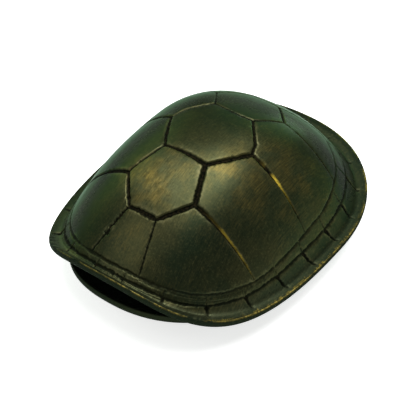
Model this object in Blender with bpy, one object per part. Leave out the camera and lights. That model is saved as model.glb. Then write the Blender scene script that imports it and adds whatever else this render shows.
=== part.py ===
"""Turtle shell: a domed carapace with grooved scute seams, two bridges and a flat plastron.

The shell stands on its plastron, +Z up, with the head end towards -Y and the turtle's left at +X.
A place on the carapace is given by s, 0 at the crown and 1 at the rim, and t, the angle round the
shell: 0 at the head end, 90 degrees at the turtle's left, 180 degrees at the tail.
"""
import math

import bmesh
import bpy
from mathutils import Vector
from mathutils.geometry import delaunay_2d_cdt

MM = 0.001

# Rim of the carapace seen from above.
HALF_WIDTH = 47.9 * MM
FRONT_REACH = 77.0 * MM
BACK_REACH = 50.9 * MM
WIDEST_Y = 10.7 * MM
FRONT_SQUARENESS = 2.57
BACK_SQUARENESS = 2.28
HEAD_FLAT = 4.7 * MM
CROWN_Y = -0.2 * MM

# Heights of the carapace.
RIM_HEIGHT = 11.0 * MM
DOME_RISE = 40.7 * MM
DOME_FOOT = 0.939
TAIL_TUCK = 0.024
DOME_POWER = 2.55
DOME_ROUND = 0.864
FLANGE_RISE = 17.4 * MM
FLANGE_FILLET = 4.5 * MM
HEAD_ARCH = 19.0 * MM
TAIL_LIFT = 5.0 * MM

# Thicknesses.
SIDE_EDGE = 1.6 * MM
HEAD_EDGE = 3.1 * MM
WALL = 3.0 * MM
EDGE_BULGE = 0.35 * MM

# Grooves.
SEAM_HALF_WIDTH = 0.72 * MM
SEAM_DEPTH = 0.70 * MM
LINE_HALF_WIDTH = 0.45 * MM
LINE_DEPTH = 0.40 * MM
LIP = 0.965
LEAN = math.radians(2.0)
TICK_ANGLES = (5.0, 24.5, 41.5, 56.5, 71.0, 81.0, 90.0, 103.5, 124.0, 141.0, 158.0)

# Plastron and bridges.
PLASTRON_HALF_WIDTH = 40.0 * MM
PLASTRON_FRONT = 59.5 * MM
PLASTRON_BACK = 52.0 * MM
PLASTRON_CENTRE_Y = 0.6 * MM
PLASTRON_SQUARENESS = 2.3
PLASTRON_THICK = 3.0 * MM
PLASTRON_FLAT = 0.5
SIDE_RISE = 2.2 * MM
FRONT_LOBE_RISE = 11.2 * MM
BACK_LOBE_RISE = 1.6 * MM
BRIDGE_FIRST = 10
BRIDGE_LAST = 25
BRIDGE_OUTER_S = 0.935
BRIDGE_INNER_S = 0.865

# Fineness.
SPOKES = 72
STEP = 4.1 * MM
CLEARANCE = 2.0 * MM
UNDERSIDE_RINGS = (0.965, BRIDGE_OUTER_S, BRIDGE_INNER_S, 0.80, 0.71, 0.59, 0.44, 0.24)
PLASTRON_RINGS = (0.96, 0.82, 0.66, PLASTRON_FLAT, 0.25)
BRIDGE_LEVELS = 4

# Corners of the scutes of the turtle's left half, on a disk of radius 1: across, then along.
SPINE_CORNERS = (
    (0.079, -0.622),
    (0.279, -0.417),
    (0.157, -0.235),
    (0.361, -0.054),
    (0.153, 0.209),
    (0.272, 0.362),
    (0.105, 0.545),
)
CROSS_SEAMS = (0, 2, 4, 6)
SIDE_SEAMS = ((0, 13.0), (1, 61.0), (3, 84.0), (5, 108.0), (6, 150.0))


def clear_scene():
    for obj in list(bpy.data.objects):
        bpy.data.objects.remove(obj, do_unlink=True)


def signed_power(value, power):
    return math.copysign(abs(value) ** power, value)


def ease(low, high, value):
    """Smooth step from 0 at low to 1 at high."""
    share = min(max((value - low) / (high - low), 0.0), 1.0)
    return share * share * (3.0 - 2.0 * share)


def rim_outline(t):
    """Point of the carapace rim seen from above."""
    c = math.cos(t)
    blend = 0.5 * (1.0 + math.tanh(3.0 * c))
    square = BACK_SQUARENESS + (FRONT_SQUARENESS - BACK_SQUARENESS) * blend
    reach = FRONT_REACH if c > 0.0 else BACK_REACH
    x = HALF_WIDTH * signed_power(math.sin(t), 2.0 / square)
    y = WIDEST_Y - reach * signed_power(c, 2.0 / square)
    return x, y + HEAD_FLAT * (0.5 + 0.5 * c) ** 3.5


def rim_lift(t):
    """Height of the rim over its lowest part: a high arch at the head, a low one at the tail."""
    c = math.cos(t)
    return HEAD_ARCH * (0.5 + 0.5 * c) ** 8.8 + TAIL_LIFT * (0.5 - 0.5 * c) ** 3.0


def dome_foot(t):
    """Where the dome meets the margin, drawn in at the tail."""
    return DOME_FOOT - TAIL_TUCK * (0.5 - 0.5 * math.cos(t)) ** 5


def carapace_point(s, t):
    x, y = rim_outline(t)
    dome = DOME_RISE * max(0.0, 1.0 - (s / dome_foot(t)) ** DOME_POWER) ** DOME_ROUND
    flange = FLANGE_RISE * (1.0 - s)
    merged = 0.5 * (dome + flange + math.hypot(dome - flange, FLANGE_FILLET) - FLANGE_FILLET)
    z = RIM_HEIGHT + merged + rim_lift(t) * s ** 4.7
    return Vector((s * x, s * y + (1.0 - s) * CROWN_Y, z))


def carapace_normal(s, t):
    """Outward unit normal of the smooth carapace."""
    if s < 0.01:
        return Vector((0.0, 0.0, 1.0))
    low = min(s, 0.998)
    along = carapace_point(low + 0.002, t) - carapace_point(low - 0.002, t)
    around = carapace_point(low, t + 0.005) - carapace_point(low, t - 0.005)
    return along.cross(around).normalized()


def first_ring(t):
    """Ring line at the foot of the dome, bowed outwards along the sides."""
    from_head = abs(math.remainder(t, math.tau))
    bow = 0.022 * math.exp(-((from_head - 1.2) / 0.42) ** 2)
    return 0.818 + 0.065 * math.cos(t) + bow


def second_ring(t):
    """Ring line just outside the first one."""
    return 0.880 + 0.038 * math.cos(t)


def lip_ring(t):
    return LIP


def rim_ring(t):
    return 1.0


def on_disk(s, t):
    return Vector((s * math.sin(t), -s * math.cos(t)))


def from_disk(place):
    return min(place.length, 1.0), math.atan2(place.x, -place.y)


def mirrored(place, side):
    return Vector((side * place[0], place[1]))


class Drawing:
    """Points and lines on the disk, before they are turned into triangles."""

    def __init__(self):
        self.points = []
        self.lines = []
        self.depths = {}

    def add(self, place, depth):
        for index, known in enumerate(self.points):
            if (known - place).length < 1e-6:
                self.depths[index] = max(self.depths[index], depth)
                return index
        self.points.append(place.copy())
        self.depths[len(self.points) - 1] = depth
        return len(self.points) - 1

    def polyline(self, places, depth):
        indices = [self.add(place, depth) for place in places]
        self.lines.extend(zip(indices[:-1], indices[1:]))

    def straight(self, start, end, depth):
        count = max(1, round((end - start).length / 0.066))
        self.polyline([start.lerp(end, k / count) for k in range(count + 1)], depth)


def ring_angles(special):
    """Even steps round the shell, with the special angles put in place of their neighbours."""
    even = [math.tau * k / SPOKES for k in range(SPOKES)]
    kept = [a for a in even if all(abs(math.remainder(a - b, math.tau)) > 0.045 for b in special)]
    return sorted(kept + [b % math.tau for b in special])


def both_sides(degrees):
    return [math.radians(side * angle) for angle in degrees for side in (1, -1)]


def draw_ring(drawing, ring, special, depth):
    angles = ring_angles(special)
    places = [on_disk(ring(t), t) for t in angles]
    drawing.polyline(places + places[:1], depth)


def draw_scutes(drawing):
    """Seams of the row of scutes along the spine and of the side scutes."""
    for side in (1, -1):
        corners = [mirrored(corner, side) for corner in SPINE_CORNERS]
        for start, end in zip(corners[:-1], corners[1:]):
            drawing.straight(start, end, SEAM_DEPTH)
        for corner, degrees in SIDE_SEAMS:
            t = math.radians(side * degrees)
            drawing.straight(corners[corner], on_disk(first_ring(t), t), SEAM_DEPTH)
    for corner in CROSS_SEAMS:
        left = mirrored(SPINE_CORNERS[corner], 1)
        drawing.straight(left, mirrored(left, -1), SEAM_DEPTH)


def square_to_rim(t):
    """Angle at which a line square to the rim, leaving the second ring at t, reaches the lip."""
    start = carapace_point(second_ring(t), t)
    around = [t + math.radians(0.05 * k) for k in range(-320, 321)]
    return min(around, key=lambda angle: (carapace_point(LIP, angle) - start).xy.length)


def lean(t):
    """Extra turn of the cross lines towards the tail, along the shell's sides."""
    from_head = math.degrees(abs(math.remainder(t, math.tau)))
    share = ease(40.0, 70.0, from_head) * (1.0 - ease(100.0, 150.0, from_head))
    return math.copysign(LEAN * share, math.remainder(t, math.tau))


def draw_margin(drawing):
    """The ring lines, the lip and the short cross lines between the marginal scutes."""
    ticks = both_sides(TICK_ANGLES) + [math.pi]
    ends = [square_to_rim(t) + lean(t) for t in ticks]
    feet = both_sides([degrees for corner, degrees in SIDE_SEAMS])
    draw_ring(drawing, rim_ring, [], 0.0)
    draw_ring(drawing, lip_ring, ends, 0.0)
    draw_ring(drawing, second_ring, ticks, LINE_DEPTH)
    draw_ring(drawing, first_ring, ticks + feet, LINE_DEPTH)
    for t, end in zip(ticks, ends):
        drawing.polyline([on_disk(first_ring(t), t), on_disk(second_ring(t), t)], LINE_DEPTH)
        middle = on_disk(second_ring(t), t).lerp(on_disk(LIP, end), 0.5)
        drawing.polyline([on_disk(second_ring(t), t), middle], LINE_DEPTH)
        drawing.polyline([middle, on_disk(LIP, end)], 0.0)


def fill_levels():
    """Shares of the way from the crown to the first ring, one step of surface apart."""
    levels = []
    share = 0.0
    while True:
        here = carapace_point(share * 0.82, 1.6)
        there = carapace_point(share * 0.82 + 0.01, 1.6)
        share += 0.01 * STEP / (there - here).length / 0.82
        if share > 0.975:
            return levels
        levels.append(share)


def fill_points(drawing):
    """Evenly spread points inside the scutes, kept clear of the seams."""
    seams = [carapace_point(*from_disk(place)) for place in drawing.points]
    wanted = [Vector((0.0, 0.0))]
    for row, share in enumerate(fill_levels()):
        count = max(6, round(math.tau * share * 46.0 * MM / STEP))
        for k in range(count):
            t = math.tau * (k + 0.5 * (row % 2)) / count
            wanted.append(on_disk(share * first_ring(t), t))
    for k in range(SPOKES):
        t = math.tau * (k + 0.5) / SPOKES
        wanted.append(on_disk(0.5 * (second_ring(t) + LIP), t))
    for place in wanted:
        spot = carapace_point(*from_disk(place))
        if min((spot - seam).length for seam in seams) > CLEARANCE:
            drawing.points.append(place)


def triangulate(mesh, drawing):
    """Lay the drawing's triangles on the carapace and mark the edges that follow its lines."""
    result = delaunay_2d_cdt(drawing.points, drawing.lines, [], 0, 1e-7)
    places, edges, faces, first_points, first_lines = result[:5]
    verts = [mesh.verts.new(carapace_point(*from_disk(place))) for place in places]
    for face in faces:
        mesh.faces.new([verts[i] for i in face])
    mesh.edges.ensure_lookup_table()
    drawn = {frozenset(edge) for edge, line in zip(edges, first_lines) if line}
    marked = {frozenset((verts[a], verts[b])) for a, b in drawn}
    depths = [max([drawing.depths.get(i, 0.0) for i in group] or [0.0]) for group in first_points]
    return verts, places, depths, marked


def scute_regions(mesh, marked):
    """Groups of triangles fenced in by the drawn lines."""
    regions = []
    waiting = set(mesh.faces)
    while waiting:
        start = min(waiting, key=lambda face: face.index)
        waiting.discard(start)
        region = [start]
        for face in region:
            for edge in face.edges:
                if frozenset(edge.verts) in marked:
                    continue
                for other in edge.link_faces:
                    if other in waiting:
                        waiting.discard(other)
                        region.append(other)
        regions.append(region)
    return regions


def cut_grooves(mesh, verts, places, depths, marked):
    """Narrow each scute a little and sink the seam lines between them."""
    mesh.faces.index_update()
    mesh.normal_update()
    seam_spots = [(vert.co.copy(), place, depth) for vert, place, depth in zip(verts, places, depths)]
    margin = {vert for vert, place in zip(verts, places) if place.length > 0.7}
    for region in scute_regions(mesh, marked):
        corners = {vert for face in region for vert in face.verts}
        if any(vert.is_boundary for vert in corners):
            continue
        width = LINE_HALF_WIDTH if corners <= margin else SEAM_HALF_WIDTH
        bmesh.ops.inset_region(mesh, faces=region, thickness=width, use_even_offset=True)
    sink_seams(mesh, seam_spots)


def spot_key(point):
    return tuple(round(value / (0.01 * MM)) for value in point)


def sink_seams(mesh, seam_spots):
    sunk = {spot_key(spot): (place, depth) for spot, place, depth in seam_spots if depth > 0.0}
    for vert in mesh.verts:
        found = sunk.get(spot_key(vert.co))
        if found:
            place, depth = found
            vert.co -= depth * carapace_normal(*from_disk(place))


def underside_point(s, t):
    """Inner face of the carapace: the wall inside the dome, thinning to the edge at the rim."""
    edge = SIDE_EDGE + (HEAD_EDGE - SIDE_EDGE) * (0.5 + 0.5 * math.cos(t)) ** 1.5
    near_rim = min(1.0, max(0.0, (s - 0.84) / 0.16))
    near_rim = near_rim * near_rim * (3.0 - 2.0 * near_rim)
    thick = WALL + (edge - WALL) * near_rim
    inward = carapace_normal(s, t).lerp(Vector((0.0, 0.0, 1.0)), near_rim)
    return carapace_point(s, t) - thick * inward.normalized()


def edge_middle(t):
    top = carapace_point(1.0, t)
    bottom = underside_point(1.0, t)
    outward = Vector((math.sin(t), -math.cos(t), 0.0))
    return 0.5 * (top + bottom) + EDGE_BULGE * outward


def plastron_outline(t):
    c = math.cos(t)
    reach = PLASTRON_FRONT if c > 0.0 else PLASTRON_BACK
    x = PLASTRON_HALF_WIDTH * signed_power(math.sin(t), 2.0 / PLASTRON_SQUARENESS)
    y = PLASTRON_CENTRE_Y - reach * signed_power(c, 2.0 / PLASTRON_SQUARENESS)
    return x, y


def plastron_point(r, t, upper):
    """Point of the plastron at r, 0 in the middle and 1 at its edge."""
    x, y = plastron_outline(t)
    raised = max(0.0, (r - PLASTRON_FLAT) / (1.0 - PLASTRON_FLAT))
    c = math.cos(t)
    lobe = FRONT_LOBE_RISE if c > 0.0 else BACK_LOBE_RISE
    z = raised * raised * (SIDE_RISE + lobe * abs(c) ** 1.4) + (PLASTRON_THICK if upper else 0.0)
    return Vector((r * x, PLASTRON_CENTRE_Y + r * (y - PLASTRON_CENTRE_Y), z))


def spoke_angle(k):
    return math.tau * k / SPOKES


def new_ring(mesh, place):
    return [mesh.verts.new(place(spoke_angle(k))) for k in range(SPOKES)]


def in_bridge(k):
    """True for the strips between spokes that the two bridges take up."""
    left = BRIDGE_FIRST <= k < BRIDGE_LAST
    right = SPOKES - BRIDGE_LAST <= k < SPOKES - BRIDGE_FIRST
    return left or right


def join_rings(mesh, first, second, skip_bridges=False):
    for k in range(SPOKES):
        after = (k + 1) % SPOKES
        if not (skip_bridges and in_bridge(k)):
            mesh.faces.new((first[k], first[after], second[after], second[k]))


def close_ring(mesh, ring, middle):
    centre = mesh.verts.new(middle)
    for k in range(SPOKES):
        mesh.faces.new((ring[k], ring[(k + 1) % SPOKES], centre))


def add_underside(mesh, rim):
    """Rim edge and inner face of the carapace; returns the rings where the bridges leave it."""
    middle = new_ring(mesh, edge_middle)
    previous = new_ring(mesh, lambda t: underside_point(1.0, t))
    join_rings(mesh, rim, middle)
    join_rings(mesh, middle, previous)
    bridge_rings = []
    for s in UNDERSIDE_RINGS:
        ring = new_ring(mesh, lambda t: underside_point(s, t))
        join_rings(mesh, previous, ring, skip_bridges=(s == BRIDGE_INNER_S))
        if s in (BRIDGE_OUTER_S, BRIDGE_INNER_S):
            bridge_rings.append(ring)
        previous = ring
    close_ring(mesh, previous, underside_point(0.0, 0.0))
    return bridge_rings


def add_plastron(mesh):
    """Plate under the shell; returns its lower and upper edge rings."""
    edges = []
    for upper in (False, True):
        outer = new_ring(mesh, lambda t: plastron_point(1.0, t, upper))
        edges.append(outer)
        previous = outer
        for r in PLASTRON_RINGS:
            ring = new_ring(mesh, lambda t: plastron_point(r, t, upper))
            join_rings(mesh, previous, ring)
            previous = ring
        centre_z = PLASTRON_THICK if upper else 0.0
        close_ring(mesh, previous, Vector((0.0, PLASTRON_CENTRE_Y, centre_z)))
    join_rings(mesh, edges[0], edges[1], skip_bridges=True)
    return edges


def bridge_wall(mesh, top, bottom, bow, spokes):
    """Curved wall from a ring under the carapace down to a ring on the plastron's edge."""
    rows = [[top[k] for k in spokes]]
    for level in range(1, BRIDGE_LEVELS):
        share = level / BRIDGE_LEVELS
        row = []
        for k in spokes:
            t = spoke_angle(k)
            outward = Vector((math.sin(t), -math.cos(t), -0.7))
            place = top[k].co.lerp(bottom[k].co, share) + bow * math.sin(math.pi * share) * outward
            row.append(mesh.verts.new(place))
        rows.append(row)
    rows.append([bottom[k] for k in spokes])
    for above, below in zip(rows[:-1], rows[1:]):
        for k in range(len(spokes) - 1):
            mesh.faces.new((above[k], above[k + 1], below[k + 1], below[k]))
    return rows


def add_bridges(mesh, under_rings, plastron_edges):
    left = list(range(BRIDGE_FIRST, BRIDGE_LAST + 1))
    right = [SPOKES - k for k in reversed(left)]
    for spokes in (left, right):
        outer = bridge_wall(mesh, under_rings[0], plastron_edges[0], 1.6 * MM, spokes)
        inner = bridge_wall(mesh, under_rings[1], plastron_edges[1], 1.0 * MM, spokes)
        for end in (0, -1):
            for level in range(BRIDGE_LEVELS):
                corners = (outer[level][end], outer[level + 1][end], inner[level + 1][end], inner[level][end])
                mesh.faces.new(corners)


def rim_verts(verts, places):
    """The carapace's outermost points, in order round the shell from the head end."""
    rim = [(from_disk(place)[1] % math.tau, vert) for vert, place in zip(verts, places)
           if place.length > 0.999]
    rim = [((angle + 0.01) % math.tau, vert) for angle, vert in rim]
    return [vert for angle, vert in sorted(rim, key=lambda pair: pair[0])]


def shell_material():
    material = bpy.data.materials.new("shell_horn")
    material.use_nodes = True
    shader = material.node_tree.nodes["Principled BSDF"]
    shader.inputs["Base Color"].default_value = (0.045, 0.052, 0.024, 1.0)
    shader.inputs["Roughness"].default_value = 0.32
    return material


def build_shell():
    mesh = bmesh.new()
    drawing = Drawing()
    draw_scutes(drawing)
    draw_margin(drawing)
    fill_points(drawing)
    verts, places, depths, marked = triangulate(mesh, drawing)
    rim = rim_verts(verts, places)
    cut_grooves(mesh, verts, places, depths, marked)
    under_rings = add_underside(mesh, rim)
    plastron_edges = add_plastron(mesh)
    add_bridges(mesh, under_rings, plastron_edges)
    bmesh.ops.recalc_face_normals(mesh, faces=mesh.faces)
    bmesh.ops.triangulate(mesh, faces=mesh.faces)
    data = bpy.data.meshes.new("turtle_shell")
    mesh.to_mesh(data)
    mesh.free()
    for polygon in data.polygons:
        polygon.use_smooth = True
    data.set_sharp_from_angle(angle=math.radians(28.0))
    data.materials.append(shell_material())
    shell = bpy.data.objects.new("turtle_shell", data)
    bpy.context.scene.collection.objects.link(shell)


clear_scene()
build_shell()
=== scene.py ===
import itertools
import math

import bmesh
import bpy
import numpy as np
from mathutils import Matrix, Vector
from mathutils.geometry import delaunay_2d_cdt
from mathutils.kdtree import KDTree


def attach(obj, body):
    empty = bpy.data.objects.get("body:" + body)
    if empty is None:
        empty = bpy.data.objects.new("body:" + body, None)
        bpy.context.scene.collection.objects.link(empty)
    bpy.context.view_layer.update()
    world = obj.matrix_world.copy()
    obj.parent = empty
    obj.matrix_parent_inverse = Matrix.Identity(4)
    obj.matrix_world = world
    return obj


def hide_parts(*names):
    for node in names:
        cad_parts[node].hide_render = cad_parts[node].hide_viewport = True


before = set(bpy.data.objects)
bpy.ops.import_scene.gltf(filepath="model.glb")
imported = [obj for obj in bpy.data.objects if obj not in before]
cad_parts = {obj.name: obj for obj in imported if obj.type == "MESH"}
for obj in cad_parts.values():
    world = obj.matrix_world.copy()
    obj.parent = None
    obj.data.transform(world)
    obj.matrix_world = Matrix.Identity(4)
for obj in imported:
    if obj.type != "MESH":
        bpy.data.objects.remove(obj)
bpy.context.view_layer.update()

MM = 0.001
NODE = "turtle_shell"

# Carapace, with the same driving sizes as the part.
HALF_WIDTH = 47.9 * MM
FRONT_REACH = 77.0 * MM
BACK_REACH = 50.9 * MM
WIDEST_Y = 10.7 * MM
FRONT_SQUARENESS = 2.57
BACK_SQUARENESS = 2.28
HEAD_FLAT = 4.7 * MM
CROWN_Y = -0.2 * MM
RIM_HEIGHT = 11.0 * MM
DOME_RISE = 40.7 * MM
DOME_FOOT = 0.939
TAIL_TUCK = 0.024
DOME_POWER = 2.55
DOME_ROUND = 0.864
FLANGE_RISE = 17.4 * MM
FLANGE_FILLET = 4.5 * MM
HEAD_ARCH = 19.0 * MM
TAIL_LIFT = 5.0 * MM
SIDE_EDGE = 1.6 * MM
HEAD_EDGE = 3.1 * MM
WALL = 3.0 * MM
EDGE_BULGE = 0.35 * MM
LEAN = math.radians(2.0)

# Plastron and bridges.
PLASTRON_HALF_WIDTH = 40.0 * MM
PLASTRON_FRONT = 59.5 * MM
PLASTRON_BACK = 52.0 * MM
PLASTRON_CENTRE_Y = 0.6 * MM
PLASTRON_SQUARENESS = 2.3
PLASTRON_THICK = 3.0 * MM
PLASTRON_FLAT = 0.5
PLASTRON_PLATE = 0.97
SIDE_RISE = 2.2 * MM
FRONT_LOBE_RISE = 11.2 * MM
BACK_LOBE_RISE = 1.6 * MM
BRIDGE_FIRST = math.radians(50.0)
BRIDGE_LAST = math.radians(125.0)
BRIDGE_OUTER_S = 0.935
BRIDGE_INNER_S = 0.865
# Cross seams of the plastron: place along it at the midline, then at the edge.
PLASTRON_SEAMS = ((-0.70, -0.80), (-0.40, -0.50), (-0.03, -0.03), (0.36, 0.46), (0.66, 0.78))

# Fineness of the mesh.
SPOKES = 576
FINE_STEP = 0.33 * MM
COARSE_STEP = 1.25 * MM
PLAIN_STEP = 2.4 * MM
FINE_REACH = 0.55 * MM
LINE_SAMPLE = 0.25 * MM

# Colour of the lights that graze the far side and the tail.
SIDE_TINT = (0.78, 1.0, 0.80)
SKY_STRENGTH = 0.32
LIGHTS_AIM = (0.0, 0.0, 30.0 * MM)

# Floor.
FLOOR_HALF = 4.0
FLOOR_Z = -0.05 * MM

# Camera.
LENS = 112.0
SENSOR = 36.0
CAMERA_AZIMUTH = math.radians(36.5)
CAMERA_ELEVATION = math.radians(43.06)
CAMERA_DISTANCE = 470.0 * MM
CAMERA_SHIFT_RIGHT = -0.5 * MM
CAMERA_SHIFT_UP = 1.4 * MM
CAMERA_TARGET = Vector((0.0, -0.87 * MM, 11.0 * MM))

# Scute pattern: lengths and half widths are shares of the way from the crown to the rim.
# SPINE_FIRST and SPINE_LAST are the end cross seams, MIDDLE_EXTRA the middle scute's extra length,
# HEAD_SCUTE_HALF the half scute at the head and FOOT_SHARE where in a margin scute a side seam ends.
SPINE_FIRST = -0.62
SPINE_LAST = 0.55
MIDDLE_EXTRA = 0.05
SPINE_HALF_WIDTH = 0.36
SPINE_TAPER = 1.5
SEAM_SHARE = 0.48
SIDE_SHIFT = 0.02
MARGIN_SCUTES = 11
HEAD_SCUTE_HALF = 0.4
FOOT_SHARE = 1.0 / 3.0
CORNER_NAMES = ("spine_1_end", "spine_2_side", "spine_2_end", "spine_3_side", "spine_3_end",
                "spine_4_side", "spine_4_end")

# Cuts across the margin: width in millimetres, more near the head, and where they end, further
# out along the sides. On the turtle's right the ones near the head run almost to the rim.
CUT_WIDTH = 1.1
CUT_EXTRA_WIDTH = 0.7
CUT_END = 0.943
CUT_EXTRA_REACH = 0.018
FAR_CUT_END = 0.985
FAR_CUTS_TO = 60.0
SERRATED_RING = 0.988


# ---------------------------------------------------------------- shape of the shell

def signed_power(value, power):
    return np.sign(value) * np.abs(value) ** power


def ease(low, high, value):
    share = np.clip((value - low) / (high - low), 0.0, 1.0)
    return share * share * (3.0 - 2.0 * share)


def bump(centre, reach, value):
    """A soft hill, 1 at the centre and near 0 a reach away."""
    return np.exp(-((value - centre) / reach) ** 2)


def rim_outline(t):
    c = np.cos(t)
    blend = 0.5 * (1.0 + np.tanh(3.0 * c))
    square = BACK_SQUARENESS + (FRONT_SQUARENESS - BACK_SQUARENESS) * blend
    reach = np.where(c > 0.0, FRONT_REACH, BACK_REACH)
    x = HALF_WIDTH * signed_power(np.sin(t), 2.0 / square)
    y = WIDEST_Y - reach * signed_power(c, 2.0 / square)
    return x, y + HEAD_FLAT * (0.5 + 0.5 * c) ** 3.5


def carapace(s, t):
    """Points of the smooth carapace: s is 0 at the crown and 1 at the rim, t the angle round it."""
    x, y = rim_outline(t)
    c = np.cos(t)
    lift = HEAD_ARCH * (0.5 + 0.5 * c) ** 8.8 + TAIL_LIFT * (0.5 - 0.5 * c) ** 3.0
    foot = DOME_FOOT - TAIL_TUCK * (0.5 - 0.5 * c) ** 5
    dome = DOME_RISE * np.clip(1.0 - (s / foot) ** DOME_POWER, 0.0, 1.0) ** DOME_ROUND
    flange = FLANGE_RISE * (1.0 - s)
    merged = 0.5 * (dome + flange + np.hypot(dome - flange, FLANGE_FILLET) - FLANGE_FILLET)
    z = RIM_HEIGHT + merged + lift * s ** 4.7
    return np.stack([s * x, s * y + (1.0 - s) * CROWN_Y, z], axis=-1)


def unit(vectors):
    return vectors / np.linalg.norm(vectors, axis=-1, keepdims=True)


def carapace_normals(s, t):
    low = np.clip(s, 0.004, 0.998)
    along = carapace(low + 0.002, t) - carapace(low - 0.002, t)
    around = carapace(low, t + 0.004) - carapace(low, t - 0.004)
    normals = unit(np.cross(along, around))
    normals[s < 0.006] = (0.0, 0.0, 1.0)
    return normals


def underside(s, t):
    """Inner face of the carapace, thinning from the wall to the edge at the rim."""
    edge = SIDE_EDGE + (HEAD_EDGE - SIDE_EDGE) * (0.5 + 0.5 * np.cos(t)) ** 1.5
    near_rim = ease(0.84, 1.0, s)[..., None]
    thick = WALL + (edge[..., None] - WALL) * near_rim
    inward = unit(carapace_normals(s, t) * (1.0 - near_rim) + np.array((0.0, 0.0, 1.0)) * near_rim)
    return carapace(s, t) - thick * inward


def plastron(r, t, upper):
    """Points of the plastron: r is 0 in its middle and 1 at its edge."""
    c = np.cos(t)
    reach = np.where(c > 0.0, PLASTRON_FRONT, PLASTRON_BACK)
    x = PLASTRON_HALF_WIDTH * signed_power(np.sin(t), 2.0 / PLASTRON_SQUARENESS)
    y = -reach * signed_power(c, 2.0 / PLASTRON_SQUARENESS)
    raised = np.clip((r - PLASTRON_FLAT) / (1.0 - PLASTRON_FLAT), 0.0, 1.0)
    lobe = np.where(c > 0.0, FRONT_LOBE_RISE, BACK_LOBE_RISE)
    z = raised * raised * (SIDE_RISE + lobe * np.abs(c) ** 1.4) + (PLASTRON_THICK if upper else 0.0)
    return np.stack([r * x, PLASTRON_CENTRE_Y + r * y, z], axis=-1)


def first_ring(t):
    """Where the inner ring runs, bowed outwards beside the bridges."""
    bowed = 0.022 * np.exp(-((np.abs(np.arctan2(np.sin(t), np.cos(t))) - 1.2) / 0.42) ** 2)
    return 0.818 + 0.065 * np.cos(t) + bowed


def second_ring(t):
    return 0.880 + 0.038 * np.cos(t)


def on_disk(s, t):
    return np.stack([s * np.sin(t), -s * np.cos(t)], axis=-1)


def from_disk(places):
    s = np.minimum(np.linalg.norm(places, axis=-1), 1.0)
    return s, np.arctan2(places[..., 0], -places[..., 1])


# ---------------------------------------------------------------- noise

def value_noise(points, size, seed):
    """Smooth noise between -1 and 1 whose features are about the given size."""
    grid = points / size + 517.3
    cell = np.floor(grid).astype(np.int64)
    share = grid - cell
    share = share * share * (3.0 - 2.0 * share)
    total = np.zeros(len(points))
    for corner in itertools.product((0, 1), repeat=3):
        at = cell + np.array(corner)
        mixed = at[:, 0] * 73856093 ^ at[:, 1] * 19349663 ^ at[:, 2] * 83492791 ^ seed * 40503
        mixed = (mixed ^ (mixed >> 13)) * 1274126177 & 0x7FFFFFFF
        mixed = (mixed ^ (mixed >> 16)) & 0xFFFF
        weight = np.prod(np.where(corner, share, 1.0 - share), axis=1)
        total += weight * (mixed / 32767.5 - 1.0)
    return total


def layered_noise(points, size, seed):
    return value_noise(points, size, seed) * 0.65 + value_noise(points, size * 0.45, seed + 1) * 0.35


# ---------------------------------------------------------------- engraved lines

class Line:
    """One engraved line on the carapace, as closely spaced samples.

    width and depth are in millimetres, given at the start and the end. ragged is how uneven its
    sides are, gold how strongly its edge is worn bright, and gold_span where along it that shows.
    """

    def __init__(self, places, width, depth, ragged=0.25, gold=0.0, gold_span=(0.5, 0.6),
                 surface=carapace):
        spots = surface(*from_disk(places))
        length = np.linalg.norm(np.diff(spots, axis=0), axis=1).sum()
        count = max(4, int(length / LINE_SAMPLE))
        share = np.linspace(0.0, 1.0, count)
        along = np.linspace(0.0, 1.0, len(places))
        self.places = np.stack([np.interp(share, along, places[:, k]) for k in (0, 1)], axis=-1)
        self.spots = surface(*from_disk(self.places))
        uneven = 1.0 + 0.22 * value_noise(self.spots, 4.0 * MM, 61)
        self.half_width = np.interp(share, (0.0, 1.0), width) * uneven * 0.5 * MM
        self.depth = np.interp(share, (0.0, 1.0), depth) * MM
        self.ragged = np.full(count, ragged * MM)
        self.gold = gold * bump(gold_span[0], gold_span[1], share)


def straight(start, end, side=1, bend=0.0):
    """Places on the disk from one corner to another, bowed sideways by the bend."""
    start = np.array(start) * (side, 1)
    end = np.array(end) * (side, 1)
    share = np.linspace(0.0, 1.0, 25)[:, None]
    across = np.array((start[1] - end[1], end[0] - start[0])) * side
    return start + (end - start) * share + bend * np.sin(math.pi * share) * across


def ring_line(ring, first, last, wobble, seed):
    """Places on the disk round part of a ring, between two angles in degrees."""
    t = np.radians(np.linspace(first, last, 400))
    drift = value_noise(np.stack([t * 9.0, t * 0.0, t * 0.0], axis=-1), 1.0, seed)
    return on_disk(ring(t) + wobble * drift, t)


def spine_half_width(along):
    """Half width of the row of spine scutes, widest at the crown."""
    return SPINE_HALF_WIDTH * (1.0 - SPINE_TAPER * along * along)


def spine_corners():
    """Corners of the spine scutes on the turtle's left, on a disk of radius 1: across, then along."""
    scute = (SPINE_LAST - SPINE_FIRST) / 3.0
    seams = [SPINE_FIRST, SPINE_FIRST + scute, SPINE_FIRST + 2.0 * scute + MIDDLE_EXTRA, SPINE_LAST]
    corners = [(SEAM_SHARE * spine_half_width(SPINE_FIRST), SPINE_FIRST)]
    for seam, following in zip(seams, seams[1:]):
        middle = 0.5 * (seam + following) - SIDE_SHIFT
        corners.append((spine_half_width(middle), middle))
        corners.append((SEAM_SHARE * spine_half_width(following), following))
    return dict(zip(CORNER_NAMES, corners))


def margin_angle(count):
    """Angle of a place on the rim, counted in even marginal scutes from the seam beside the head."""
    t = np.linspace(0.0, math.pi, 1441)
    x, y = rim_outline(t)
    run = np.concatenate([[0.0], np.cumsum(np.hypot(np.diff(x), np.diff(y)))])
    wanted = run[-1] * (HEAD_SCUTE_HALF + count) / (HEAD_SCUTE_HALF + MARGIN_SCUTES)
    return float(np.interp(wanted, run, t))


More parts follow.
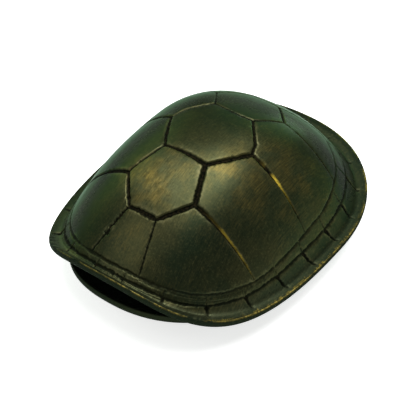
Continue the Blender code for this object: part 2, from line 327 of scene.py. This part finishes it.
def seam_foot(scute):
    """Place where the side seam that ends at a marginal scute meets the first ring."""
    t = margin_angle(scute + FOOT_SHARE)
    return first_ring(t) * math.sin(t), -first_ring(t) * math.cos(t)


def across(corner):
    """Places along a cross seam, between a corner and its mirror image."""
    return straight((-corner[0], corner[1]), corner)


def spine_lines():
    c = spine_corners()
    lines = []
    for side in (1, -1):
        near = side == 1
        lines.append(Line(straight(c["spine_1_end"], c["spine_2_side"], side),
                          (2.0, 2.2) if near else (1.6, 1.6), (0.70, 0.75), 0.34))
        lines.append(Line(straight(c["spine_2_side"], c["spine_2_end"], side),
                          (2.0, 1.9) if near else (1.2, 1.4), (0.75, 0.70), 0.30))
        lines.append(Line(straight(c["spine_2_end"], c["spine_3_side"], side),
                          (2.0, 2.3) if near else (1.5, 1.5), (0.75, 0.75), 0.34))
        lines.append(Line(straight(c["spine_3_side"], c["spine_3_end"], side),
                          (1.4, 1.1) if near else (1.0, 0.9), (0.70, 0.55), 0.24))
        lines.append(Line(straight(c["spine_3_end"], c["spine_4_side"], side),
                          (0.8, 0.6), (0.35, 0.30), 0.18))
        lines.append(Line(straight(c["spine_4_side"], c["spine_4_end"], side),
                          (1.0, 1.1), (0.5, 0.55), 0.24))
    lines.append(Line(across(c["spine_1_end"]), (1.9, 2.2), (0.7, 0.7), 0.34))
    lines.append(Line(across(c["spine_2_end"]), (1.2, 2.0), (0.55, 0.75), 0.24))
    lines.append(Line(across(c["spine_3_end"]), (0.8, 1.0), (0.45, 0.5), 0.20))
    lines.append(Line(across(c["spine_4_end"]), (1.1, 1.1), (0.55, 0.55), 0.24))
    return lines


def side_lines():
    c = spine_corners()
    lines = []
    for side in (1, -1):
        near = side == 1
        for name, scute, width, depth, gold, span in (
                ("spine_1_end", 0, (1.0, 0.8), (0.35, 0.3), 0.0, (0.3, 0.3)),
                ("spine_2_side", 3, (2.0, 0.7 if near else 1.8),
                 (0.7, 0.25 if near else 0.55), 0.5, (0.62, 0.25)),
                ("spine_3_side", 5, (2.0, 0.6), (0.6, 0.25), 1.2, (0.42, 0.20)),
                ("spine_4_side", 7, (0.4, 0.7), (0.20, 0.35), 0.0, (0.5, 0.5)),
                ("spine_4_end", 9, (1.1, 0.8), (0.5, 0.4), 0.0, (0.5, 0.5))):
            shown = gold if near else 0.0
            lines.append(Line(straight(c[name], seam_foot(scute), side), width, depth, 0.24, shown, span))
    return lines + [far_gouge()]


def far_gouge():
    """A wide rough cut over the upper part of the far seam beside the first spine scute."""
    seam = straight(spine_corners()["spine_1_end"], seam_foot(0), -1)
    return Line(seam[:16], (1.3, 1.9), (0.6, 0.35), 0.50)


def square_to_rim(t, s_from, s_to):
    """Angle at which a line square to the rim, leaving s_from at t, reaches s_to."""
    around = t + np.radians(np.linspace(-16.0, 16.0, 641))
    gap = carapace(np.full_like(around, s_to), around) - carapace(s_from, t)
    return around[np.argmin(np.linalg.norm(gap[:, :2], axis=1))]


def lean(t):
    """Extra turn of the cross lines towards the tail, along the shell's sides."""
    from_head = np.degrees(abs(math.remainder(t, math.tau)))
    share = ease(40.0, 70.0, from_head) * (1.0 - ease(100.0, 150.0, from_head))
    return math.copysign(LEAN * share, t)


def margin_lines():
    lines = [
        Line(ring_line(first_ring, -180.0, 180.0, 0.0022, 3), (1.25, 1.25), (0.24, 0.24), 0.36),
        Line(ring_line(second_ring, -180.0, 180.0, 0.0026, 5), (1.40, 1.40), (0.28, 0.28), 0.44),
        Line(ring_line(lambda t: 0.68 * first_ring(t) + 0.32 * second_ring(t), 10.0, 66.0, 0.003, 7),
             (0.7, 0.4), (0.2, 0.15), 0.30),
        Line(ring_line(lambda t: 0.30 * first_ring(t) + 0.70 * second_ring(t), 18.0, 50.0, 0.003, 8),
             (0.5, 0.5), (0.15, 0.15), 0.30),
        Line(ring_line(lambda t: second_ring(t) + 0.016, -34.0, 20.0, 0.002, 11),
             (0.35, 0.3), (0.10, 0.08), 0.30),
        Line(ring_line(lambda t: second_ring(t) + 0.034, -22.0, 38.0, 0.002, 12),
             (0.3, 0.35), (0.08, 0.10), 0.30),
    ]
    for side in (1.0, -1.0):
        serrated = ring_line(lambda t: SERRATED_RING + 0.0 * t, side * 40.0, side * 140.0, 0.0008, 9)
        lines.append(Line(serrated,
                          (0.40, 0.34), (0.14, 0.10), 0.50, 0.35 if side > 0.0 else 0.0, (0.1, 0.5)))
    for count in range(MARGIN_SCUTES + 1):
        for side in ((1,) if count == MARGIN_SCUTES else (1, -1)):
            t = side * margin_angle(count)
            from_head = abs(math.degrees(t))
            width = CUT_WIDTH + CUT_EXTRA_WIDTH * bump(33.0, 14.0, from_head)
            end = CUT_END + CUT_EXTRA_REACH * bump(80.0, 25.0, from_head)
            end = FAR_CUT_END if side < 0 and from_head < FAR_CUTS_TO else end
            middle = second_ring(t)
            inner = on_disk(first_ring(t), t)
            outer = on_disk(end, square_to_rim(t, middle, end) + lean(t))
            lines.append(Line(np.stack([inner, on_disk(middle, t)]),
                              (0.5, width * 0.6), (0.14, 0.25), 0.32))
            lines.append(Line(np.stack([on_disk(middle, t), outer]),
                              (width * 1.7, width * 0.7), (0.42, 0.22), 0.42))
    return lines


def plastron_face(s, t):
    """The lower face of the plastron inside its rounded edge."""
    return plastron(s * PLASTRON_PLATE, t, False)


def plastron_lines():
    """The midline and the cross seams under the shell."""
    lines = [Line(straight((0.0, -0.96), (0.0, 0.96), bend=0.004), (0.7, 0.7), (0.25, 0.25), 0.25,
                  surface=plastron_face)]
    for side in (1, -1):
        for inner_y, outer_y in PLASTRON_SEAMS:
            outer = (0.96 * math.sqrt(1.0 - outer_y ** 2), outer_y)
            lines.append(Line(straight((0.0, inner_y), outer, side, 0.03),
                              (0.7, 0.6), (0.25, 0.2), 0.25, surface=plastron_face))
    return lines


class Engraving:
    """A set of engraved lines, ready to be asked for the one nearest to a point."""

    def __init__(self, lines):
        self.spots = np.concatenate([line.spots for line in lines])
        self.half_width = np.concatenate([line.half_width for line in lines])
        self.depth = np.concatenate([line.depth for line in lines])
        self.ragged = np.concatenate([line.ragged for line in lines])
        self.gold = np.concatenate([line.gold for line in lines])
        self.tree = KDTree(len(self.spots))
        for index, spot in enumerate(self.spots):
            self.tree.insert(spot, index)
        self.tree.balance()

    def nearest(self, points):
        """Index of the line sample nearest to each point, and its distance."""
        found = [self.tree.find(point)[1:] for point in points]
        index = np.array([index for index, distance in found])
        return index, np.array([distance for index, distance in found])

    def beyond(self, points):
        """How far each point lies outside the side of the nearest line."""
        index, gap = self.nearest(points)
        return gap - self.half_width[index]


# ---------------------------------------------------------------- meshing

def even_angles(outline, count, phase=0.0):
    """Angles that step evenly along an outline."""
    t = np.linspace(0.0, math.tau, 4001)
    x, y = outline(t)[:2]
    run = np.concatenate([[0.0], np.cumsum(np.hypot(np.diff(x), np.diff(y)))])
    return np.interp((np.arange(count) + phase) / count * run[-1], run, t)


def ring_levels(surface, step, last):
    """Values of s, one step of surface apart, from the crown to the last ring."""
    s = np.linspace(0.0, last, 1500)
    spots = surface(s, np.full_like(s, 1.7))
    run = np.concatenate([[0.0], np.cumsum(np.linalg.norm(np.diff(spots, axis=0), axis=1))])
    count = int(run[-1] / step)
    return np.interp(np.arange(1, count) / count * run[-1], run, s)


def spread(surface, outline, step, last):
    """Evenly spread places on the disk inside the last ring."""
    rim = surface(np.ones(721), np.linspace(0.0, math.tau, 721))
    rim_length = np.linalg.norm(np.diff(rim, axis=0), axis=1).sum()
    groups = [np.zeros((1, 2))]
    for row, s in enumerate(ring_levels(surface, step, last)):
        count = max(6, int(rim_length * s / step))
        groups.append(on_disk(s, even_angles(outline, count, 0.5 * (row % 2))))
    return np.concatenate(groups)


def disk_triangles(places):
    """Delaunay triangles of places on the disk."""
    result = delaunay_2d_cdt([Vector(place) for place in places.tolist()], [], [], 0, 1e-9)
    return np.array([tuple(place) for place in result[0]]), [tuple(face) for face in result[2]]


class Skin:
    """The one surface of the shell, gathered from patches that share their borders."""

    def __init__(self):
        self.points = []
        self.faces = []
        self.masks = {}
        self.count = 0

    def add(self, points, faces, **masks):
        self.points.append(points)
        self.faces.extend(tuple(i + self.count for i in face) for face in faces)
        for name in MASKS:
            values = masks.get(name, 0.0)
            self.masks.setdefault(name, []).append(np.broadcast_to(values, len(points)))
        self.count += len(points)

    def add_grid(self, rows, closed, **masks):
        """A patch of quads from rows of points."""
        height, width = len(rows), len(rows[0])
        faces = []
        for j in range(height - 1):
            for i in range(width if closed else width - 1):
                after = (i + 1) % width
                low, high = j * width, (j + 1) * width
                faces.append((low + i, low + after, high + after, high + i))
        self.add(np.concatenate(rows), faces, **masks)

    def to_object(self, name, material):
        data = bpy.data.meshes.new(name)
        data.from_pydata(np.concatenate(self.points).tolist(), [], self.faces)
        for mask, groups in self.masks.items():
            attribute = data.attributes.new(mask, "FLOAT", "POINT")
            attribute.data.foreach_set("value", np.concatenate(groups).astype(np.float32))
        mesh = bmesh.new()
        mesh.from_mesh(data)
        bmesh.ops.remove_doubles(mesh, verts=mesh.verts, dist=0.002 * MM)
        bmesh.ops.recalc_face_normals(mesh, faces=mesh.faces)
        for face in mesh.faces:
            face.smooth = True
        mesh.to_mesh(data)
        mesh.free()
        data.materials.append(material)
        obj = bpy.data.objects.new(name, data)
        bpy.context.scene.collection.objects.link(obj)
        return obj


# inside is how much painted shade a face gets: the rim's edge, the underside, the plastron and the bridges.
MASKS = ("groove", "worn", "burnish", "inside", "margin", "polish", "chart_x", "chart_y")


# Places worn by rubbing, partly real wear and partly painted highlight: where each one is on the disk, how
# far it reaches across and along, how strong.
WEAR_AND_HIGHLIGHT_PATCHES = (
    ((-0.08, -0.42), (0.14, 0.14), 0.85),
    ((0.00, -0.50), (0.16, 0.08), 0.35),
    ((0.38, -0.16), (0.24, 0.15), 0.48),
    ((0.10, -0.16), (0.12, 0.05), 0.04),
    ((0.27, -0.52), (0.08, 0.09), 0.08),
    ((0.58, 0.08), (0.18, 0.18), 0.38),
    ((0.05, -0.74), (0.14, 0.10), 0.15),
)


def rub_and_highlight_at(places, points, margin):
    """Warm, lighter tone: wear patches, partly painted highlight, and painted light at the head end."""
    total = np.zeros(len(places))
    for centre, reach, strength in WEAR_AND_HIGHLIGHT_PATCHES:
        offset = (places - np.array(centre)) / np.array(reach)
        total += strength * np.exp(-(offset ** 2).sum(axis=1))
    from_head = np.degrees(np.abs(from_disk(places)[1]))
    # Painted light on the margin round the head end.
    head_end_light = 0.70 * bump(28.0, 22.0, from_head) + 0.10 * bump(65.0, 22.0, from_head)
    total = total * (1.0 - margin) + head_end_light * margin
    return np.clip(total * (1.0 + 0.45 * layered_noise(points, 7.0 * MM, 51)), 0.0, 1.0)


def engraved_places(surface, engraving, border):
    """Places on a surface: fine beside the engraved lines and coarser between them."""
    fine = spread(surface, rim_outline, FINE_STEP, 0.999 if surface is carapace else 0.97)
    coarse = spread(surface, rim_outline, COARSE_STEP, 0.985 if surface is carapace else 0.97)
    beyond_fine = engraving.beyond(surface(*from_disk(fine)))
    beyond_coarse = engraving.beyond(surface(*from_disk(coarse)))
    return np.concatenate([fine[beyond_fine < FINE_REACH], coarse[beyond_coarse >= FINE_REACH], border])


def add_outer_face(skin, engraving):
    rim = on_disk(1.0, even_angles(rim_outline, SPOKES))
    places, faces = disk_triangles(engraved_places(carapace, engraving, rim))
    s, t = from_disk(places)
    at_rim = s > 0.9995
    points = carapace(s, t)
    normals = carapace_normals(s, t)
    index, gap = engraving.nearest(points)
    half_width = engraving.half_width[index]
    rough_gap = gap + engraving.ragged[index] * layered_noise(points, 0.9 * MM, 21)
    across = rough_gap / half_width
    cut = 1.0 - ease(0.45, 1.05, across)
    rolled = np.exp(-np.maximum(gap - half_width, 0.0) / (0.5 * MM))
    swell = (value_noise(points, 9.0 * MM, 31) - 1.0) * 0.06 * MM
    swell = swell + value_noise(points, 2.2 * MM, 33) * 0.02 * MM
    floor = value_noise(points, 0.7 * MM, 37) * 0.10 * MM * ease(0.6, 1.0, cut)
    burr = bump(1.2, 0.25, across) * np.clip(0.3 + value_noise(points, 2.0 * MM, 35), 0.0, 1.0)
    offset = swell + floor - engraving.depth[index] * cut + 0.10 * engraving.depth[index] * burr
    offset = offset - 0.05 * MM * rolled
    offset = np.where(at_rim, 0.0, offset * (1.0 - ease(0.985, 1.0, s) * 0.8))
    patchy = np.clip(0.65 + value_noise(points, 2.4 * MM, 41), 0.0, 1.0)
    tail_side = ease(-0.2, 0.2, (points - engraving.spots[index])[:, 1] / half_width)
    worn = engraving.gold[index] * (1.0 - ease(0.75, 1.15, across)) * patchy * tail_side
    # Lighter lips beside the lines: partly wear, partly painted highlight.
    burnish = bump(1.25, 0.30, across) * np.clip(0.35 + value_noise(points, 3.0 * MM, 43), 0.0, 1.0)
    depth_share = np.clip(engraving.depth[index] / (0.40 * MM), 0.0, 1.0)
    margin = ease(0.0, 0.03, s - second_ring(t))
    skin.add(points + normals * offset[:, None], faces, groove=cut * depth_share,
             worn=np.clip(worn, 0.0, 1.0), burnish=burnish * depth_share,
             margin=margin, polish=rub_and_highlight_at(places, points, margin),
             chart_x=places[:, 0], chart_y=places[:, 1])


def ring_rows(surface, levels, t):
    return [surface(np.full_like(t, level), t) for level in levels]


def edge_rows(t):
    """Rounded rim edge, from the outer face to the underside."""
    top = carapace(np.ones_like(t), t)
    bottom = underside(np.ones_like(t), t)
    outward = np.stack([np.sin(t), -np.cos(t), 0.0 * t], axis=-1)
    rows = []
    for share in np.linspace(0.0, 1.0, 8):
        bulge = EDGE_BULGE * math.sin(math.pi * share) ** 0.7
        rows.append(top + (bottom - top) * share + bulge * outward)
    return rows


def in_bridge(t):
    away = np.abs(np.arctan2(np.sin(t), np.cos(t)))
    return (away >= BRIDGE_FIRST - 1e-6) & (away <= BRIDGE_LAST + 1e-6)


def bridge_spokes():
    """The even angles that lie in each bridge, and the ones left between the bridges."""
    t = even_angles(rim_outline, SPOKES)
    inside = in_bridge(t)
    starts = [k for k in range(SPOKES) if inside[k] and not inside[k - 1]]
    groups = []
    for start in starts:
        group = [start]
        while inside[(group[-1] + 1) % SPOKES]:
            group.append((group[-1] + 1) % SPOKES)
        groups.append(group)
    return t, groups


def open_groups(groups):
    """Spokes of the stretches between the bridges, each with the bridge spokes at its ends."""
    stretches = []
    for this, following in zip(groups, groups[1:] + groups[:1]):
        run = [this[-1]]
        while run[-1] != following[0]:
            run.append((run[-1] + 1) % SPOKES)
        stretches.append(run)
    return stretches


def add_underside(skin, t, groups):
    rows = edge_rows(t)
    beyond_rim = 1.0 + 0.004 * np.repeat(np.arange(len(rows)), len(t))
    charted = on_disk(beyond_rim, np.tile(t, len(rows)))
    # The inside values set the painted shade on the rim's edge and the underside.
    skin.add_grid(rows, True, inside=0.55, margin=1.0, chart_x=charted[:, 0], chart_y=charted[:, 1])
    skin.add_grid(ring_rows(underside, np.linspace(1.0, BRIDGE_OUTER_S, 6), t), True, inside=0.6)
    for run in open_groups(groups):
        rows = ring_rows(underside, np.linspace(BRIDGE_OUTER_S, BRIDGE_INNER_S, 6), t[run])
        skin.add_grid(rows, False, inside=1.0)
    add_plain_disk(skin, lambda s, a: underside(s * BRIDGE_INNER_S, a), t, 1.0)


def add_plain_disk(skin, surface, t, inside):
    """A disk without engraving whose border has the shell's even angles."""
    places = spread(surface, rim_outline, PLAIN_STEP, 0.97)
    places = np.concatenate([places, on_disk(1.0, t)])
    places, faces = disk_triangles(places)
    s, a = from_disk(places)
    points = surface(np.where(s > 0.9999, 1.0, s), a)
    skin.add(points, faces, inside=inside)


def add_plastron_face(skin, t):
    engraving = Engraving(plastron_lines())
    places, faces = disk_triangles(engraved_places(plastron_face, engraving, on_disk(1.0, t)))
    s, a = from_disk(places)
    s = np.where(s > 0.9999, 1.0, s)
    points = plastron_face(s, a)
    index, gap = engraving.nearest(points)
    rough_gap = gap + engraving.ragged[index] * layered_noise(points, 0.9 * MM, 21)
    cut = (1.0 - ease(0.45, 1.05, rough_gap / engraving.half_width[index])) * (1.0 - ease(0.93, 0.99, s))
    points[:, 2] += engraving.depth[index] * cut
    # A little painted shade on the plastron's lower face.
    skin.add(points, faces, groove=0.7 * cut, inside=0.2)


def add_plastron(skin, t, groups):
    add_plastron_face(skin, t)
    # The inside values set the painted shade on the plastron's upper face and edges.
    add_plain_disk(skin, lambda r, a: plastron(r * PLASTRON_PLATE, a, True), t, 1.0)
    for upper in (False, True):
        rows = ring_rows(lambda r, a: plastron(r, a, upper), np.linspace(PLASTRON_PLATE, 1.0, 4), t)
        skin.add_grid(rows, True, inside=0.9 if upper else 0.6)
    for run in open_groups(groups):
        low = plastron(np.ones(len(run)), t[run], False)
        high = plastron(np.ones(len(run)), t[run], True)
        outward = np.stack([np.sin(t[run]), -np.cos(t[run]), 0.0 * t[run]], axis=-1)
        rows = [low + (high - low) * share + 0.3 * MM * math.sin(math.pi * share) * outward
                for share in np.linspace(0.0, 1.0, 6)]
        skin.add_grid(rows, False, inside=0.7)


def bridge_rows(top, bottom, bow, t):
    outward = np.stack([np.sin(t), -np.cos(t), -0.7 + 0.0 * t], axis=-1)
    return [top + (bottom - top) * share + bow * math.sin(math.pi * share) * outward
            for share in np.linspace(0.0, 1.0, 14)]


def add_bridges(skin, t, groups):
    for group in groups:
        a = t[group]
        outer = bridge_rows(underside(np.full_like(a, BRIDGE_OUTER_S), a),
                            plastron(np.ones_like(a), a, False), 1.6 * MM, a)
        inner = bridge_rows(underside(np.full_like(a, BRIDGE_INNER_S), a),
                            plastron(np.ones_like(a), a, True), 1.0 * MM, a)
        # The inside values set the painted shade on the bridges.
        skin.add_grid(outer, False, inside=0.3)
        skin.add_grid(inner, False, inside=1.0)
        for end in (0, -1):
            outer_side = np.array([row[end] for row in outer])
            inner_side = np.array([row[end] for row in inner])
            columns = [outer_side + (inner_side - outer_side) * share for share in np.linspace(0.0, 1.0, 6)]
            skin.add_grid(columns, False, inside=0.4)


# ---------------------------------------------------------------- materials

class Graph:
    """Adds shader nodes with their inputs given as values or as other nodes' outputs."""

    def __init__(self, name):
        self.material = bpy.data.materials.new(name)
        self.material.use_nodes = True
        self.tree = self.material.node_tree
        self.shader = self.tree.nodes["Principled BSDF"]

    def put(self, node, socket, value):
        if isinstance(value, bpy.types.NodeSocket):
            self.tree.links.new(value, node.inputs[socket])
        else:
            node.inputs[socket].default_value = value

    def node(self, kind, inputs, out=0, **settings):
        node = self.tree.nodes.new(kind)
        for name, value in settings.items():
            setattr(node, name, value)
        for socket, value in inputs.items():
            self.put(node, socket, value)
        return node.outputs[out]

    def mask(self, name):
        return self.node("ShaderNodeAttribute", {}, out="Fac", attribute_name=name)

    def math(self, operation, a, b=0.0, clamp=False):
        return self.node("ShaderNodeMath", {0: a, 1: b}, operation=operation, use_clamp=clamp)

    def mix(self, share, a, b):
        mixer = self.tree.nodes.new("ShaderNodeMix")
        mixer.data_type = "RGBA"
        self.put(mixer, 0, share)
        self.put(mixer, 6, a)
        self.put(mixer, 7, b)
        return mixer.outputs[2]

    def ramp(self, share, low, high, start=0.0, end=1.0):
        return self.node("ShaderNodeMapRange", {0: share, 1: low, 2: high, 3: start, 4: end})

    def noise(self, vector, scale, detail=3.0, rough=0.5):
        return self.node("ShaderNodeTexNoise",
                         {"Vector": vector, "Scale": scale, "Detail": detail, "Roughness": rough})

    def stretched(self, vector, scale, turn=0.0):
        return self.node("ShaderNodeMapping",
                         {"Vector": vector, "Scale": scale, "Rotation": (0.0, 0.0, turn)})


def colour(red, green, blue):
    return (red, green, blue, 1.0)


def shell_material():
    g = Graph("shell_horn")
    place = g.node("ShaderNodeTexCoord", {}, out="Object")
    chart = g.node("ShaderNodeCombineXYZ", {0: g.mask("chart_x"), 1: g.mask("chart_y"), 2: 0.0})
    polish = g.mask("polish")
    margin = g.mask("margin")
    groove = g.mask("groove")
    inside = g.mask("inside")
    cloud = g.noise(place, 45.0, 4.0, 0.55)
    patch = g.noise(place, 130.0, 4.0, 0.6)
    grain = g.noise(place, 1300.0, 2.0, 0.6)
    scratch = g.noise(g.stretched(chart, (150.0, 16.0, 1.0), 0.10), 1.0, 3.0, 0.65)
    cross_scratch = g.noise(g.stretched(chart, (120.0, 8.0, 1.0), -0.5), 1.0, 3.0, 0.6)

    # Stained horn, darker and greener in clouds, with fine scratches along the spine.
    tint = g.mix(g.ramp(cloud, 0.35, 0.65), colour(0.012, 0.019, 0.010), colour(0.028, 0.028, 0.012))
    tint = g.mix(g.ramp(patch, 0.45, 0.75, 0.0, 0.6), tint, colour(0.011, 0.018, 0.012))
    margin_tone = g.mix(g.ramp(patch, 0.4, 0.7), colour(0.013, 0.019, 0.010), colour(0.022, 0.024, 0.011))
    tint = g.mix(margin, tint, margin_tone)
    # Worn places, partly painted highlight, in a golden tone; on the margin, painted light in pale green.
    gold_wear_and_highlight = g.mix(g.ramp(patch, 0.40, 0.60), colour(0.110, 0.112, 0.050), colour(0.220, 0.165, 0.046))
    rubbed_and_highlight_tone = g.mix(margin, gold_wear_and_highlight, colour(0.150, 0.160, 0.085))
    streak = g.math("MULTIPLY", g.ramp(scratch, 0.40, 0.70), g.ramp(patch, 0.35, 0.65, 0.5, 1.0))
    rubbed_and_highlight = g.math("MULTIPLY", polish, g.ramp(streak, 0.0, 1.0, 0.40, 1.05))
    rubbed_and_highlight = g.math("ADD", rubbed_and_highlight, g.math("MULTIPLY", streak, 0.10), clamp=True)
    tint = g.mix(rubbed_and_highlight, tint, rubbed_and_highlight_tone)
    from_crown = g.node("ShaderNodeVectorMath", {0: chart}, out="Value", operation="LENGTH")
    tint = g.mix(g.ramp(from_crown, 0.930, 0.975, 0.0, 0.60), tint, colour(0.008, 0.011, 0.006))
    tint = g.mix(g.ramp(cross_scratch, 0.66, 0.80, 0.0, 0.22), tint, colour(0.12, 0.11, 0.05))
    tint = g.mix(g.ramp(grain, 0.54, 0.72, 0.0, 0.22), tint, colour(0.10, 0.09, 0.036))
    tint = g.mix(g.ramp(grain, 0.44, 0.30, 0.0, 0.35), tint, colour(0.007, 0.009, 0.006))

    # Pits, a few of them dark and fewer still filled with pale dust.
    cell = g.tree.nodes.new("ShaderNodeTexVoronoi")
    g.put(cell, "Vector", place)
    g.put(cell, "Scale", 330.0)
    chance = g.node("ShaderNodeSeparateColor", {0: cell.outputs["Color"]})
    distance = cell.outputs["Distance"]
    pit = g.math("MULTIPLY", g.ramp(distance, 0.05, 0.12, 1.0, 0.0), g.ramp(chance, 0.70, 0.72))
    dust = g.math("MULTIPLY", g.ramp(distance, 0.04, 0.09, 1.0, 0.0), g.ramp(chance, 0.02, 0.01))
    tint = g.mix(g.math("MULTIPLY", pit, 0.7), tint, colour(0.006, 0.007, 0.004))
    tint = g.mix(g.math("MULTIPLY", dust, 0.8), tint, colour(0.50, 0.52, 0.42))

    # Engraved lines: black walls, a brown gritty floor and yellow where the cut is fresh.
    # Lighter lips beside the lines: partly wear, partly painted highlight.
    tint = g.mix(g.math("MULTIPLY", g.mask("burnish"), 0.55), tint, colour(0.115, 0.105, 0.050))
    tint = g.mix(g.ramp(groove, 0.12, 0.85), tint, colour(0.0022, 0.0022, 0.0018))
    gritty = g.math("MULTIPLY", g.ramp(groove, 0.75, 1.0), g.ramp(grain, 0.40, 0.62))
    tint = g.mix(gritty, tint, colour(0.016, 0.012, 0.006))
    tint = g.mix(g.mask("worn"), tint, colour(0.52, 0.38, 0.05))

    # A thin yellow line along the rim's top edge on the near side: partly worn through, partly a painted
    # highlight.
    rim_wear_and_highlight = g.math("MULTIPLY", g.ramp(from_crown, 0.992, 0.998), g.ramp(from_crown, 1.006, 1.001))
    broken = g.math("MULTIPLY", g.ramp(patch, 0.38, 0.55), g.ramp(grain, 0.34, 0.58, 0.2, 1.0))
    near_side_dashes = g.math("MULTIPLY", broken, g.ramp(g.mask("chart_x"), -0.40, 0.05))
    tint = g.mix(g.math("MULTIPLY", rim_wear_and_highlight, near_side_dashes), tint, colour(0.26, 0.20, 0.045))
    # Painted shade: faces under and inside the shell, and the rim's edge, are darkened by the inside mask.
    tint = g.mix(inside, tint, colour(0.008, 0.011, 0.007))
    g.put(g.shader, "Base Color", tint)

    rough = g.math("ADD", g.ramp(scratch, 0.3, 0.7, 0.31, 0.42), g.ramp(groove, 0.0, 1.0, 0.0, 0.40))
    rough = g.math("ADD", rough, g.ramp(inside, 0.0, 1.0, 0.0, 0.3))
    rough = g.math("ADD", rough, g.ramp(margin, 0.0, 1.0, 0.0, 0.12))
    g.put(g.shader, "Roughness", rough)
    g.put(g.shader, "Metallic", 0.82)
    g.put(g.shader, "Specular IOR Level", 0.25)
    g.put(g.shader, "Specular Tint", colour(0.11, 0.35, 0.165))
    height = g.math("ADD", g.math("MULTIPLY", scratch, 0.4), g.math("MULTIPLY", grain, 0.6))
    bumps = g.node("ShaderNodeBump", {"Height": height, "Strength": 0.22, "Distance": 0.1 * MM})
    g.put(g.shader, "Normal", bumps)
    return g.material


def floor_material():
    g = Graph("pale_floor")
    place = g.node("ShaderNodeTexCoord", {}, out="Object")
    speckle = g.noise(place, 60.0, 3.0, 0.5)
    g.put(g.shader, "Base Color", g.mix(speckle, colour(0.70, 0.70, 0.70), colour(0.74, 0.74, 0.74)))
    g.put(g.shader, "Roughness", 0.9)
    g.put(g.shader, "Specular IOR Level", 0.1)
    g.put(g.shader, "Emission Color", colour(1.0, 1.0, 1.0))
    g.put(g.shader, "Emission Strength", 0.72)
    return g.material


# ---------------------------------------------------------------- object, studio and camera

def build_shell():
    engraving = Engraving(spine_lines() + side_lines() + margin_lines())
    t, groups = bridge_spokes()
    skin = Skin()
    add_outer_face(skin, engraving)
    add_underside(skin, t, groups)
    add_plastron(skin, t, groups)
    add_bridges(skin, t, groups)
    shell = skin.to_object("shell_surface", shell_material())
    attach(shell, "root")
    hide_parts(NODE)
    return shell


def build_floor():
    data = bpy.data.meshes.new("floor")
    corners = [(x * FLOOR_HALF, y * FLOOR_HALF, FLOOR_Z) for x, y in ((-1, -1), (1, -1), (1, 1), (-1, 1))]
    data.from_pydata(corners, [], [(0, 1, 2, 3)])
    data.materials.append(floor_material())
    floor = bpy.data.objects.new("floor", data)
    bpy.context.scene.collection.objects.link(floor)


def aim(obj, spot):
    """Turn a light towards a spot."""
    obj.rotation_euler = (Vector(spot) - obj.location).to_track_quat("-Z", "Y").to_euler()


def add_softbox(name, azimuth, elevation, distance, size, power, tint=(1.0, 1.0, 1.0)):
    data = bpy.data.lights.new(name, "AREA")
    data.shape = "DISK"
    data.size = size
    data.energy = power
    data.color = tint
    light = bpy.data.objects.new(name, data)
    a, e = math.radians(azimuth), math.radians(elevation)
    light.location = distance * Vector((math.sin(a) * math.cos(e), -math.cos(a) * math.cos(e), math.sin(e)))
    aim(light, LIGHTS_AIM)
    bpy.context.scene.collection.objects.link(light)


def build_studio():
    world = bpy.data.worlds.new("studio")
    world.use_nodes = True
    background = world.node_tree.nodes["Background"]
    background.inputs["Color"].default_value = colour(0.88, 0.96, 0.89)
    background.inputs["Strength"].default_value = SKY_STRENGTH
    bpy.context.scene.world = world
    add_softbox("key_softbox", 178.0, 83.0, 1.0, 0.90, 15.0)
    add_softbox("front_softbox", -35.0, 48.0, 1.0, 0.45, 1.0)
    add_softbox("left_softbox", -105.0, 24.0, 1.0, 0.90, 3.4, SIDE_TINT)
    add_softbox("back_softbox", -165.0, 16.0, 1.0, 0.80, 3.0, SIDE_TINT)
    add_softbox("tail_softbox", -173.0, 7.0, 1.0, 0.28, 2.2, SIDE_TINT)
    bpy.context.scene.view_settings.view_transform = "Standard"


def build_camera():
    a, e = CAMERA_AZIMUTH, CAMERA_ELEVATION
    back = Vector((math.sin(a) * math.cos(e), -math.cos(a) * math.cos(e), math.sin(e)))
    right = Vector((math.cos(a), math.sin(a), 0.0))
    up = back.cross(right)
    data = bpy.data.cameras.new("camera")
    data.lens = LENS
    data.sensor_width = SENSOR
    data.clip_start = 0.01
    camera = bpy.data.objects.new("camera", data)
    spot = CAMERA_TARGET + back * CAMERA_DISTANCE + right * CAMERA_SHIFT_RIGHT + up * CAMERA_SHIFT_UP
    turn = Matrix((right, up, back)).transposed().to_4x4()
    camera.matrix_world = Matrix.Translation(spot) @ turn
    bpy.context.scene.collection.objects.link(camera)
    bpy.context.scene.camera = camera


build_shell()
build_floor()
build_studio()
build_camera()
